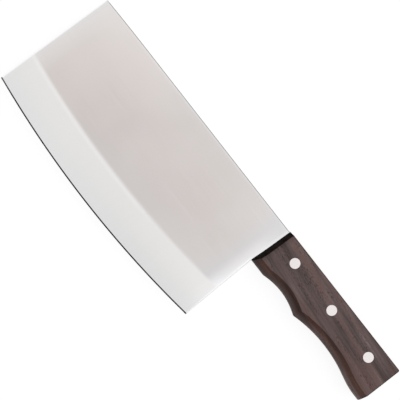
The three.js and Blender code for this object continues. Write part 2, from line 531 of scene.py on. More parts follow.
        # Painted shade down the bevel and near the heel, the painted heel highlight, and a painted highlight
        # along the shoulder.
        low = graph.blend(graph.fade(at.along, self.low_along), self.ground_low, self.ground_heel)
        glow = graph.product(at.glow, graph.fade(at.grind, self.heel_grind))
        rim_highlight = graph.product(graph.fade(at.grind, self.rim_highlight_grind), graph.fade(at.along, self.rim_highlight_along))
        bevel = graph.blend(graph.fade(at.grind, self.low_grind), self.ground, low)
        bevel = graph.blend(glow, bevel, self.heel)
        return graph.blend(rim_highlight, bevel, self.bright_ends_and_painted_highlight)

    @staticmethod
    def brushed(graph: Graph, place: Any, ground: Any, length: float, width: float) -> bpy.types.NodeSocket:
        """Noise in lines along the flats, and across the bevels.

        Args:
            graph: The material's nodes.
            place: The coordinates to read.
            ground: Share of the bevel at a point.
            length: Length of the lines.
            width: Width of the lines.

        Returns:
            The socket that holds the noise.
        """
        lengthwise = graph.streaks(place, (length, width, width))
        crosswise = graph.streaks(place, (width, length, length))
        return graph.blend(ground, lengthwise, crosswise)


@dataclass(frozen=True)
class RivetFinish:
    """Bright aluminium, sanded flush along the handle."""

    colour: Colour = (0.866, 0.823, 0.813, 1)
    line_level: Fade = noise_fade(0.985, 1.01)
    roughness: Fade = noise_fade(0.23, 0.29)
    scratch_width: float = 0.12 * MM
    scratch_length: float = 5 * MM
    scratch_detail: float = 3
    bump: float = 0.04
    bump_depth: float = 0.02 * MM

    def material(self) -> bpy.types.Material:
        """Builds the material.

        Returns:
            The finished material.
        """
        material, graph = new_material("bright_aluminium")
        place = graph.add("ShaderNodeTexCoord").outputs["Object"]
        size = (self.scratch_length, self.scratch_width, self.scratch_width)
        lines = graph.streaks(place, size, self.scratch_detail)
        graph.surface({
            "Base Color": graph.shade(self.colour[:3], graph.fade(lines, self.line_level)),
            "Metallic": 1.0,
            "Roughness": graph.fade(lines, self.roughness),
            "Normal": graph.bump(self.bump, self.bump_depth, lines),
        })
        return material


@dataclass(frozen=True)
class Grain:
    """Length, width and finer layers of one kind of streak in wood."""

    length: float
    width: float
    detail: float = 2


@dataclass(frozen=True)
class WoodFinish:
    """Dark oiled rosewood: bands and streaks along the grain, and short dark pores."""

    name: str
    handle_front: float
    spine: float
    middle_height: float
    shade: float = 1.0
    roughness: float = 0.46
    specular: float = 0.18
    dark: Colour = (0.077, 0.053, 0.049, 1)
    middle: Colour = (0.129, 0.091, 0.086, 1)
    light: Colour = (0.216, 0.156, 0.147, 1)
    red: Colour = (0.128, 0.074, 0.067, 1)
    pore: Colour = (0.020, 0.011, 0.009, 1)
    plain_tint: Colour = (1, 1, 1, 1)
    # painted_underside_shade darkens the underside chamfer as painted shade, and
    # painted_underside_shade_at_ends is the weaker shade near the handle's ends.
    painted_underside_shade: Colour = (0.44, 0.255, 0.19, 1)
    painted_underside_shade_at_ends: Colour = (0.65, 0.41, 0.31, 1)
    # painted_back_shade darkens the wall along the back as painted shade.
    painted_back_shade: Colour = (0.50, 0.47, 0.45, 1)
    bands: Grain = Grain(80 * MM, 6 * MM)
    streaks: Grain = Grain(30 * MM, 2 * MM)
    fibres: Grain = Grain(7 * MM, 0.28 * MM)
    red_patches: Grain = Grain(60 * MM, 6 * MM, 1)
    clusters: Grain = Grain(20 * MM, 4.5 * MM, 1)
    flecks: Grain = Grain(2.2 * MM, 0.5 * MM, 0)
    pores: Grain = Grain(1.6 * MM, 0.14 * MM, 0)
    band_weight: float = 0.85
    streak_weight: float = 0.24
    fibre_weight: float = 0.06
    dark_figure: float = 0.435
    middle_figure: float = 0.575
    light_figure: float = 0.715
    red_fade: Fade = Fade(0.45, 0.68, 0.0, 0.7)
    cluster_fade: Fade = Fade(0.52, 0.64, 0.05, 1.0)
    fleck_fade: Fade = Fade(0.58, 0.66, 0.0, 0.6)
    pore_fade: Fade = Fade(0.60, 0.70, 0.0, 0.32)
    # Where the painted shade lies: the underside chamfer away from the middle, weaker near the ends, and the
    # wall along the back.
    below_facing: Fade = Fade(-0.6, -0.3, 1.0, 0.0)
    back_facing: Fade = Fade(0.05, 0.5)
    front_along: Fade = Fade(14 * MM, 36 * MM, 0.8, 0.0)
    rear_along: Fade = Fade(64 * MM, 108 * MM)
    underside_shade_outward: Fade = Fade(3 * MM, 8.5 * MM)
    # The wood is darker over its first few millimetres behind the front.
    front_darkening_along: Fade = Fade(2.5 * MM, 8 * MM, 0.72, 1.0)
    roughness_figure: tuple[float, float] = (0.445, 0.705)
    dark_roughness: float = 0.06  # added to the roughness in dark wood
    light_roughness: float = -0.04  # added to it in light wood
    fibre_relief: float = 0.3
    bump: float = 0.35
    bump_depth: float = 0.05 * MM
    grain_turn: float = math.radians(-5.5)
    grain_start: tuple[float, float, float] = (69 * MM, 22 * MM, 72 * MM)

    def material(self) -> bpy.types.Material:
        """Builds the material.

        Returns:
            The finished material.
        """
        material, graph = new_material(self.name)
        coordinates = graph.add("ShaderNodeTexCoord")
        place = coordinates.outputs["Object"]
        fibres = self.grain(graph, place, self.fibres)
        figure = graph.product(self.grain(graph, place, self.bands), self.band_weight)
        streaks = self.grain(graph, place, self.streaks)
        figure = graph.math("MULTIPLY_ADD", streaks, self.streak_weight, figure)
        figure = graph.math("MULTIPLY_ADD", fibres, self.fibre_weight, figure)
        wood = graph.ramp(figure, (
            (self.dark_figure, self.dark),
            (self.middle_figure, self.middle),
            (self.light_figure, self.light),
        ))
        reddish = graph.fade(self.grain(graph, place, self.red_patches), self.red_fade)
        wood = graph.blend(reddish, wood, self.red)

        clusters = graph.fade(self.grain(graph, place, self.clusters), self.cluster_fade)
        flecks = graph.fade(self.grain(graph, place, self.flecks), self.fleck_fade)
        pores = graph.fade(self.grain(graph, place, self.pores), self.pore_fade)
        open_grain = graph.math("MAXIMUM", graph.product(flecks, clusters), pores)
        wood = self.with_painted_shade(graph, coordinates, graph.blend(open_grain, wood, self.pore))

        relief = graph.math("SUBTRACT", graph.product(fibres, self.fibre_relief), open_grain)
        rougher, smoother = self.roughness + self.dark_roughness, self.roughness + self.light_roughness
        graph.surface({
            "Base Color": graph.shade(wood, self.shade),
            "Roughness": graph.fade(figure, Fade(*self.roughness_figure, rougher, smoother)),
            "Specular IOR Level": self.specular,
            "Normal": graph.bump(self.bump, self.bump_depth, relief),
        })
        return material

    def with_painted_shade(self, graph: Graph, coordinates: bpy.types.Node, wood: Any) -> bpy.types.NodeSocket:
        """Wood with painted shade on the underside chamfer and along the back, and darker towards its front.

        Args:
            graph: The material's nodes.
            coordinates: The node that gives places and facing.
            wood: The colour of the bare wood.

        Returns:
            The socket that holds the colour.
        """
        _, facing, _ = graph.parts(coordinates.outputs["Normal"])
        x, y, z = graph.parts(coordinates.outputs["Object"])
        along = graph.math("SUBTRACT", x, self.handle_front)
        depth = graph.math("SUBTRACT", self.spine, y)
        outward = graph.math("ABSOLUTE", graph.math("SUBTRACT", z, self.middle_height))
        near_ends = graph.math(
            "ADD",
            graph.fade(along, self.front_along),
            graph.fade(along, self.rear_along),
        )
        # Painted shade on the underside chamfer, weaker near the ends, and on the wall along the back.
        below = graph.product(graph.fade(facing, self.below_facing), graph.fade(outward, self.underside_shade_outward))
        tint = graph.blend(near_ends, self.painted_underside_shade, self.painted_underside_shade_at_ends)
        tint = graph.blend(below, self.plain_tint, tint)
        tint = graph.blend(graph.fade(facing, self.back_facing), tint, self.painted_back_shade)
        # Darker towards the front.
        front_darkening = graph.fade(behind_front(graph, along, depth), self.front_darkening_along)
        return graph.shade(graph.tint(wood, tint), front_darkening)

    def grain(self, graph: Graph, place: Any, grain: Grain) -> bpy.types.NodeSocket:
        """Streaks of one kind along the wood's grain."""
        size = (grain.length, grain.width, grain.width)
        return graph.streaks(place, size, grain.detail, self.grain_turn, self.grain_start)


@dataclass(frozen=True)
class Handle:
    """The handle's outline, which the tang and both scales share. Depths are measured down from the spine."""

    length: float
    rise: float = 0.55 * MM
    front_lean: float = 1.2 * MM
    front_depth: float = 34.8 * MM
    front_run: float = 12.8 * MM
    finger_place: float = 30.5 * MM
    finger_depth: float = 31.9 * MM
    cusp_place: float = 49.8 * MM
    cusp_depth: float = 35.7 * MM
    palm_place: float = 80.3 * MM
    palm_depth: float = 31.2 * MM
    palm_ease: float = 23 * MM
    tail_ease: float = 14.5 * MM
    tail_setback: float = 4.5 * MM
    tail_depth: float = 36.5 * MM
    corner_ease: float = 0.25 * MM
    tail_steps: int = 201

    def front(self, y: Array) -> Array:
        """The front's place at a height: a line through the spine, leaning towards the tip below it."""
        return self.front_lean * y / self.front_depth

    def underside(self, x: Array) -> Array:
        """Height of the underside at places along the handle.

        A straight run, then three parabolas that each have their top at the deepest point of a hollow, then
        a cubic Bezier curve down to the tail. Stretches that meet in a corner are eased by a smooth maximum.

        Args:
            x: Places along the handle.

        Returns:
            The underside's heights, below the spine.
        """
        to_front = self.parabola(x, self.finger_place, self.finger_depth, self.front_run, self.front_depth)
        to_cusp = self.parabola(x, self.finger_place, self.finger_depth, self.cusp_place, self.cusp_depth)
        from_cusp = self.parabola(x, self.palm_place, self.palm_depth, self.cusp_place, self.cusp_depth)
        straight = np.full_like(x, -self.front_depth)
        finger = np.where(x < self.finger_place, smooth_max(straight, to_front, self.corner_ease), to_cusp)
        hollows = smooth_max(finger, from_cusp, self.corner_ease)
        return np.where(x < self.palm_place, hollows, self.tail(x))

    @staticmethod
    def parabola(x: Array, top: float, top_depth: float, end: float, end_depth: float) -> Array:
        """A parabola with its top at one place, which passes through another place."""
        return -top_depth - (end_depth - top_depth) * ((x - top) / (end - top)) ** 2

    def tail(self, x: Array) -> Array:
        """The Bezier curve from the palm hollow down to the tail, level at both ends, and level after it.

        Args:
            x: Places along the handle.

        Returns:
            The curve's heights, below the spine.
        """
        t = np.linspace(0, 1, self.tail_steps)
        weights = np.stack([(1 - t) ** 3, 3 * t * (1 - t) ** 2, 3 * t**2 * (1 - t), t**3])
        low = self.length - self.tail_setback
        places = np.array([self.palm_place, self.palm_place + self.palm_ease, low - self.tail_ease, low])
        heights = -np.array([self.palm_depth, self.palm_depth, self.tail_depth, self.tail_depth])
        return np.interp(x, places @ weights, heights @ weights)


@dataclass(frozen=True)
class KnifeAxes:
    """Where the knife's own axes start in the row frame."""

    origin: Array

    @classmethod
    def from_frame(cls) -> "KnifeAxes":
        """Finds the handle's front, the spine and the plate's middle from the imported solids.

        Returns:
            The axes.
        """
        scale_low, scale_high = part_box("front_scale")
        blade_low, blade_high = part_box("blade")
        front = scale_low.x + Handle.front_lean
        spine = scale_high.y - Handle.rise
        return cls(np.array([front, spine, (blade_low.z + blade_high.z) / 2]))

    def place(self, x: Array, y: Array, z: Array) -> Array:
        """Rows of row-frame points from the knife's own coordinates."""
        return np.stack([x.ravel(), y.ravel(), z.ravel()], axis=-1) + self.origin


@dataclass(frozen=True)
class Blade:
    """The steel plate: blade and full tang in one piece, ground to an edge from both sides."""

    axes: KnifeAxes
    handle: Handle
    height: float
    thickness: float
    rivet_centres: Array
    shank_hole: float
    edge_length: float = 220 * MM
    belly_drop: float = 7.5 * MM
    tip_rake: float = 3.1 * MM
    heel_rake: float = 1.7 * MM
    bevel_width: float = 30.5 * MM
    shoulder_ease: float = 0.04 * MM
    shoulder_zone: float = 1.8 * MM
    sharpened_width: float = 1.0 * MM
    edge_thickness: float = 0.44 * MM
    edge_land: float = 0.03 * MM
    spine_round: float = 0.6 * MM
    spine_fall: float = 0.5 * MM
    fall_start: float = -170 * MM
    fall_run: float = 46 * MM
    end_round: float = 0.7 * MM
    tip_chamfer: float = 0.9 * MM
    tip_fall: float = 0.03 * MM
    tang_round: float = 0.08 * MM
    round_share: float = 0.8  # largest fall of a rounding, as a share of half the thickness
    crease: float = math.radians(9.5)
    columns: int = 150
    tang_columns: int = 130
    zone_rows: tuple[int, ...] = (16, 12, 14, 10, 2)
    round_steps: int = 12
    hole_sides: int = 48
    settle_rounds: int = 4

    @property
    def edge_circle(self) -> tuple[float, float, float]:
        """The circle that the edge follows.

        Returns:
            Its centre's x and y, and its radius.
        """
        radius = (self.edge_length**2 / 4 + self.belly_drop**2) / (2 * self.belly_drop)
        heel = self.heel_rake - self.handle.front_lean
        return heel - self.edge_length / 2, radius - self.height, radius

    def inward(self, x: Array, y: Array) -> Array:
        """How far points lie inside the edge, along the circle's radius."""
        centre_x, centre_y, radius = self.edge_circle
        return radius - np.hypot(x - centre_x, y - centre_y)

    def height_inward(self, x: Array, inward: float) -> Array:
        """Height of the line that runs at a distance inside the edge."""
        centre_x, centre_y, radius = self.edge_circle
        return centre_y - np.sqrt((radius - inward) ** 2 - (x - centre_x) ** 2)

    def half_thickness(self, inward: Array) -> Array:
        """Half the steel's thickness, by distance inside the edge.

        The lower of three slopes: the flat, the ground bevel and the sharpened bevel. The flat and the bevel
        meet in an eased shoulder, and the sharpened bevel starts at a crisp line.

        Args:
            inward: Distances inside the edge.

        Returns:
            Half thicknesses.
        """
        flat, edge, land = self.thickness / 2, self.edge_thickness / 2, self.edge_land / 2
        rise = (inward - self.sharpened_width) / (self.bevel_width - self.sharpened_width)
        bevel = edge + (flat - edge) * rise
        ground = -smooth_max(np.full_like(bevel, -flat), -bevel, self.shoulder_ease)
        sharpened = land + (edge - land) * inward / self.sharpened_width
        return np.minimum(ground, sharpened)

    def plan(self) -> tuple[Array, Array]:
        """The blade's side as a grid in plan, from the spine to the edge and from the tip to the heel.

        Rows run level from the spine to the handle's underside, then turn into lines along the edge. The
        spine falls towards the tip by a square. Columns go from the tip's slanted end to the handle's front
        and the heel. Height and place depend on each other, so they are worked out in turn until they settle.

        Returns:
            Grids of x and y.
        """
        zones = np.repeat(np.arange(len(self.zone_rows)), self.zone_rows)
        shares = np.concatenate([np.arange(n) / n for n in self.zone_rows])
        zones = np.append(zones, len(self.zone_rows) - 1)
        shares = np.append(shares, 1.0)[:, None]
        columns = np.linspace(0, 1, self.columns + 1)
        end_height = self.height - self.belly_drop
        tip = self.heel_rake - self.handle.front_lean - self.edge_length
        underside = self.tang_round - self.handle.front_depth
        x = np.linspace(tip, 0, self.columns + 1) + 0 * shares
        for _ in range(self.settle_rounds):
            fall = np.clip((self.fall_start - x) / self.fall_run, 0, None) ** 2
            bounds = [
                -self.spine_round - self.spine_fall * fall,
                np.full_like(x, underside),
                self.height_inward(x, self.bevel_width + self.shoulder_zone),
                self.height_inward(x, self.bevel_width - self.shoulder_zone),
                self.height_inward(x, self.sharpened_width),
                self.height_inward(x, 0),
            ]
            knots = np.stack(bounds)
            rows = np.arange(len(zones))
            y = knots[zones, rows] * (1 - shares) + knots[zones + 1, rows] * shares
            start = tip + self.tip_rake * (1 + y / end_height) + self.tip_chamfer
            below = np.clip(-y - self.handle.front_depth, 0, None) / (end_height - self.handle.front_depth)
            front = self.handle.front(np.maximum(y, -self.handle.front_depth))
            end = front + self.heel_rake * below - self.end_round
            x = start + (end - start) * columns
        return x, y

    def tang_plan(self, front_x: Array, front_y: Array) -> tuple[Array, Array]:
        """The tang's side as a grid in plan, from the handle's front to the butt.

        Args:
            front_x: Places of the blade's last column, down to the handle's underside.
            front_y: Heights of that column.

        Returns:
            Grids of x and y, without that column.
        """
        share = np.linspace(0, 1, len(front_y))[:, None]
        step = np.linspace(0, 1, self.tang_columns + 1)[1:]
        butt = self.handle.length - self.tang_round
        x = front_x[:, None] + (butt - front_x[:, None]) * step
        top = np.full_like(x, self.handle.rise - self.tang_round)
        bottom = self.handle.underside(x) + self.tang_round
        return x, top * (1 - share) + bottom * share

    def build(self) -> bpy.types.Object:
        """Builds the plate: two sides, and a rounded wall round its outline.

        The wall goes round the outline as a half turn: out by the rounding times sin, and from one side's
        height to the other's by cos, with a straight stretch between two quarter turns. At the tip the height
        falls by sin too, so the rounding is a straight, shallow chamfer.

        Returns:
            The new piece.
        """
        x, y = self.plan()
        tang_rows = self.zone_rows[0] + 1
        tang_x, tang_y = self.tang_plan(x[:tang_rows, -1], y[:tang_rows, -1])
        blade = np.arange(x.size).reshape(x.shape)
        tang = np.arange(tang_x.size).reshape(tang_x.shape) + x.size
        tang = np.concatenate([blade[:tang_rows, -1:], tang], axis=1)
        side_x, side_y = np.append(x, tang_x), np.append(y, tang_y)
        half = np.append(self.half_thickness(self.inward(x, y)), np.full(tang_x.size, self.thickness / 2))
        side = np.concatenate([grid_quads(blade), grid_quads(tang)])

        out_x, out_y = np.zeros_like(side_x), np.zeros_like(side_y)
        out_y[blade[0]] += self.spine_round
        out_x[blade[:, 0]] -= self.tip_chamfer
        out_x[blade[tang_rows - 1:, -1]] += self.end_round
        out_y[tang[0, 1:]] += self.tang_round
        out_x[tang[:, -1]] += self.tang_round
        out_y[tang[-1]] -= self.tang_round
        loop = np.concatenate([
            blade[0], tang[0, 1:], tang[1:, -1], tang[-1, -2:0:-1],
            blade[tang_rows - 1:, -1], blade[-1, -2::-1], blade[-2:0:-1, 0],
        ])
        fall = np.hypot(out_x, out_y)
        fall[blade[:, 0]] = self.tip_fall
        rounding = np.minimum(fall, self.round_share * half)[loop]
        turn = np.linspace(0, np.pi / 2, self.round_steps)[1:, None]
        drop = np.where(np.isin(loop, blade[:, 0]), np.sin(turn), 1 - np.cos(turn))
        upper = half[loop] - rounding * drop
        wall_z = np.concatenate([upper, -upper[::-1]])
        outward = np.concatenate([np.sin(turn), np.sin(turn)[::-1]])
        wall_x = side_x[loop] + out_x[loop] * outward
        wall_y = side_y[loop] + out_y[loop] * outward

        count = side_x.size
        wall = np.arange(wall_x.size).reshape(wall_x.shape) + 2 * count
        wall = np.concatenate([loop[None], wall, loop[None] + count])
        quads = np.concatenate([side, side + count, ring_quads(wall)])
        all_x = np.concatenate([side_x, side_x, wall_x.ravel()])
        all_y = np.concatenate([side_y, side_y, wall_y.ravel()])
        all_z = np.concatenate([half, -half, wall_z.ravel()])
        piece = make_piece("blade_and_tang", self.axes.place(all_x, all_y, all_z), quads)
        self.mark_grind(piece)
        hole = np.array([[0, -1], [1, -1], [1, 1], [0, 1]]) * (self.shank_hole / 2, self.thickness)
        drill(piece, turned_piece("tang_holes", hole, self.rivet_centres, self.hole_sides))
        smooth(piece, self.crease)
        return piece

    def mark_grind(self, piece: bpy.types.Object) -> None:
        """Stores how far down the ground bevels each corner lies.

        The value is 1 - inward / bevel width: 0 at the shoulder, 1 at the edge, below 0 on the flats and
        -1 on the tang.

        Args:
            piece: The plate, before its holes are drilled.
        """
        points = np.empty(len(piece.data.vertices) * 3)
        piece.data.vertices.foreach_get("co", points)
        x, y, _ = (points.reshape(-1, 3) - self.axes.origin).T
        grind = 1 - self.inward(x, y) / self.bevel_width
        attribute = piece.data.attributes.new(SteelFinish.grind_attribute, "FLOAT", "POINT")
        attribute.data.foreach_set("value", np.where(x < self.end_round, grind, -1.0).astype(np.float32))

    def dress(self, piece: bpy.types.Object, finish: SteelFinish) -> None:
        """Gives the plate its finish and its place in the frame.

        Args:
            piece: The plate.
            finish: The steel's finish.
        """
        piece.data.materials.clear()
        piece.data.materials.append(finish.material())
        hand_over(piece, "blade")


@dataclass(frozen=True)
class Scale:
    """One wooden handle scale: a flat face, a slanted front and a chamfer along the underside."""

    axes: KnifeAxes
    handle: Handle
    side: Side
    face_height: float
    seat_height: float
    rivet_centres: Array
    shank_hole: float
    recess_diameter: float
    recess_depth: float
    front_bevel: float = 3.1 * MM
    front_flare: float = 0.45 * MM
    flare_depth: float = 21 * MM
    chamfer: float = 6.8 * MM
    back_round: float = 1.2 * MM
    chamfer_round: float = 0.3 * MM
    chamfer_bulge: float = 0.12 * MM
    land_round: float = 2.0 * MM
    front_round: float = 0.8 * MM
    butt_round: float = 0.9 * MM
    face_crown: float = 0.12 * MM
    slant_run: float = 12 * MM
    station_step: float = 0.7 * MM
    end_steps: int = 8
    cap_steps: int = 12
    round_steps: int = 8
    run_steps: tuple[int, ...] = (5, 26, 10, 5, 14)
    chamfer_run: int = 2  # number of the section's run that is the chamfer
    seat_sides: int = 96
    front_slope: float = 0.7
    # butt_slope is low so that the butt's rounded rim takes the dark end grain too, as painted shade along
    # the rim.
    butt_slope: float = 0.2
    crease: float = math.radians(32)

    def stations(self) -> tuple[Array, Array, Array]:
        """Places along the handle at which the section is drawn.

        Each end is a cap that shrinks to its middle, then a rounded rim on a quarter turn, in by
        1 - sin and back by 1 - cos. Stations fall on the ridge and the hollows between the ends.

        Returns:
            For each station its place, how far its section is drawn in, and its share of full size.
        """
        turn = np.linspace(0, np.pi / 2, self.end_steps)
        rim_place, rim_inset = 1 - np.cos(turn), 1 - np.sin(turn)
        butt = self.handle.length
        marks = [self.front_round, self.handle.front_run, self.handle.finger_place, self.handle.cusp_place]
        marks += [self.handle.palm_place, butt - self.butt_round]
        spans = zip(marks[:-1], marks[1:])
        runs = [np.linspace(a, b, round((b - a) / self.station_step) + 1)[1:] for a, b in spans]
        middle = np.concatenate(runs)[:-1]
        shrink = np.linspace(0, 1, self.cap_steps, endpoint=False)
        cap = np.zeros_like(shrink)
        front, back = self.front_round * rim_place, butt - self.butt_round * rim_place[::-1]
        place = np.concatenate([cap, front, middle, back, cap + butt])
        front, back = self.front_round * rim_inset, self.butt_round * rim_inset[::-1]
        inset = np.concatenate([cap + self.front_round, front, 0 * middle, back, cap + self.butt_round])
        size = np.concatenate([shrink, np.ones(2 * len(turn) + len(middle)), shrink[::-1]])
        return place, inset, size

    def section(self, place: Array, inset: Array) -> tuple[Array, Array]:
        """The scale's section at each station, as a closed line.

        Five corners: seat and face along the back, the top and foot of the chamfer, and the seat along the
        underside. The three outer corners are rounded by parabolas, (1-t)^2 a + 2 t (1-t) corner + t^2 b.

        Args:
            place: Stations along the handle.
            inset: How far each station's section is drawn in.

        Returns:
            Grids of y and z, one row for each station.
        """
        bottom = self.handle.underside(place)
        back = self.handle.rise - inset
        draw = inset * (math.sqrt(2) - 1)
        face = self.face_height - inset
        foot = self.face_height - self.chamfer - draw
        seat = np.full_like(place, self.seat_height)
        corner_y = np.stack([back, back, bottom + self.chamfer + draw, bottom + inset, bottom + inset])
        corner_z = np.stack([seat, face, face, foot, seat])
        corners = np.stack([corner_y, corner_z], axis=-1)
        reach = np.array([0, self.back_round, self.chamfer_round, self.land_round, 0])
        ahead = np.roll(corners, -1, axis=0) - corners
        ahead /= np.linalg.norm(ahead, axis=-1, keepdims=True)
        leave = corners + ahead * reach[:, None, None]
        arrive = corners - np.roll(ahead, 1, axis=0) * reach[:, None, None]
        t = np.linspace(0, 1, self.round_steps + 1)[:, None, None]
        line = []
        for number, count in enumerate(self.run_steps):
            bend = (1 - t) ** 2 * arrive[number] + 2 * t * (1 - t) * corners[number] + t**2 * leave[number]
            line.append(bend if reach[number] else bend[:1])
            share = np.linspace(0, 1, count + 1)[1:-1, None, None]
            following = (number + 1) % len(self.run_steps)
            run = leave[number] * (1 - share) + arrive[following] * share
            bulge = self.chamfer_bulge if number == self.chamfer_run else 0.0
            bow = 4 * share * (1 - share) * bulge
            line.append(run + bow * np.array([-1, 1]) / math.sqrt(2))
        points = np.concatenate(line)
        return points[..., 0].T, points[..., 1].T

    def build(self) -> bpy.types.Object:
        """Carries the section along the handle, and drills and counterbores it for the rivets.

        Near the front the stations lean with the handle's front, with a slight flare towards the lower
        corner and with the slant of the scale's end. The lean dies out as (1 - place / run)^2. The face is
        crowned by a parabola across its height.

        Returns:
            The new piece.
        """
        place, inset, size = self.stations()
        y, z = self.section(place, inset)
        middle_y, middle_z = y.mean(axis=1, keepdims=True), z.mean(axis=1, keepdims=True)
        y = middle_y + (y - middle_y) * size[:, None]
        z = middle_z + (z - middle_z) * size[:, None]
        slant = self.front_bevel / (self.face_height - self.seat_height)
        flare = np.clip(-y - self.flare_depth, 0, None) / (self.handle.front_depth - self.flare_depth)
        lean = self.handle.front(y) - self.front_flare * flare + slant * (z - self.seat_height)
        fade = np.clip(1 - place / self.slant_run, 0, None) ** 2
        x = place[:, None] + lean * fade[:, None]
        middle = (self.handle.rise - self.handle.palm_depth + self.chamfer) / 2
        across = (y - middle) / (self.handle.rise - middle)
        above = (z - self.seat_height) / (self.face_height - self.seat_height)
        z = z - self.face_crown * across**2 * np.clip(above, 0, 1)
        numbers = np.arange(x.size).reshape(x.shape)
        name = f"{self.side.name.lower()}_handle_scale"
        piece = make_piece(name, self.axes.place(x, y, self.side.value * z), ring_quads(numbers))
        floor, top = self.face_height - self.recess_depth, self.face_height + self.recess_depth
        hole, recess = self.shank_hole / 2, self.recess_diameter / 2
        cutter = np.array([[0, 0], [hole, 0], [hole, floor], [recess, floor], [recess, top], [0, top]])
        cutter = cutter * (1, self.side.value)
        drill(piece, turned_piece("rivet_seats", cutter, self.rivet_centres, self.seat_sides))
        smooth(piece, self.crease)
        return piece

    def dress(
        self,
        piece: bpy.types.Object,
        wood: bpy.types.Material,
        front_end: bpy.types.Material,
        butt_end: bpy.types.Material,
    ) -> None:
        """Gives the scale its wood, with end grain at its two ends, and its place in the frame.

        Args:
            piece: The scale's piece.
            wood: Finish of the faces along the grain.
            front_end: Finish of the slanted front, end grain coloured almost black, partly as painted shade.
            butt_end: Finish of the butt, which also covers its rounded rim, where the darkness is painted
                shade.
        """
        piece.data.materials.clear()
        for finish in (wood, front_end, butt_end):
            piece.data.materials.append(finish)
        normals = np.empty(len(piece.data.polygons) * 3)
        centres = np.empty_like(normals)
        piece.data.polygons.foreach_get("normal", normals)
        piece.data.polygons.foreach_get("center", centres)
        along = normals[::3]
        # At the butt even the rounded rim takes the dark end grain, which paints shade along it.
        butt = centres[::3] > self.axes.origin[0] + self.handle.length - self.butt_round
        end = np.select([along < -self.front_slope, butt & (along > self.butt_slope)], [1, 2], 0)
        piece.data.polygons.foreach_set("material_index", end.astype(np.int32))
        hand_over(piece, f"{self.side.name.lower()}_scale")


class RivetHalf(Enum):
    """The halves of a two-piece rivet: a solid pin on the front side, and a tube that takes it."""

    PIN = 1
    TUBE = -1


@dataclass(frozen=True)
class Rivet:
    """One half of a rivet: a flush head with an eased rim, on a pin or a tube."""

    name: str
    half: RivetHalf
    centre: Array
    head_diameter: float
    face_height: float
    head_depth: float = 3 * MM
    pin_diameter: float = 3 * MM
    tube_diameter: float = 5 * MM
    clearance: float = 0.1 * MM
    rim_round: float = 0.15 * MM
    crown: float = 0.02 * MM
    sides: int = 96
    rim_steps: int = 7
    top_steps: int = 12
    crease: float = math.radians(30)

    def profile(self) -> Array:
        """Radius and height of the half's outline, for a head that faces up.

        The head's top falls by crown times (radius / head radius)^2 to a quarter-round rim.

        Returns:
            Points from the axis at the shank's end to the axis at the head's top.
        """
        under = self.face_height - self.head_depth
        head = self.head_diameter / 2
        pin, tube = self.pin_diameter / 2, self.tube_diameter / 2
        bore = pin + self.clearance
        end = self.clearance - under
        shank = {
            RivetHalf.PIN: [[0, end], [pin - self.clearance, end], [pin, end + self.clearance], [pin, under]],
            RivetHalf.TUBE: [[0, under], [bore, under], [bore, end], [tube, end], [tube, under]],
        }[self.half]
        turn = np.linspace(0, np.pi / 2, self.rim_steps)
        shoulder = head - self.rim_round
        rim_top = self.face_height - self.crown - self.rim_round
        rim = [shoulder + self.rim_round * np.cos(turn), rim_top + self.rim_round * np.sin(turn)]
        radius = np.linspace(shoulder, 0, self.top_steps)[1:]
        top = [radius, self.face_height - self.crown * (radius / shoulder) ** 2]
        return np.concatenate([shank, [[head, under]], np.transpose(rim), np.transpose(top)])

    def build(self) -> bpy.types.Object:
        """Turns the profile round the rivet's axis, with the tube's head facing down.

        Returns:
            The new piece.
        """
        profile = self.profile() * (1, self.half.value)
        name = f"{self.name}_rivet_{self.half.name.lower()}_turned"
        piece = turned_piece(name, profile, self.centre[None], self.sides)
        smooth(piece, self.crease)
        return piece

    def dress(self, piece: bpy.types.Object, metal: bpy.types.Material) -> None:
        """Gives the rivet its metal and its place in the frame."""
        piece.data.materials.append(metal)
        hand_over(piece, f"{self.name}_rivet_{self.half.name.lower()}")


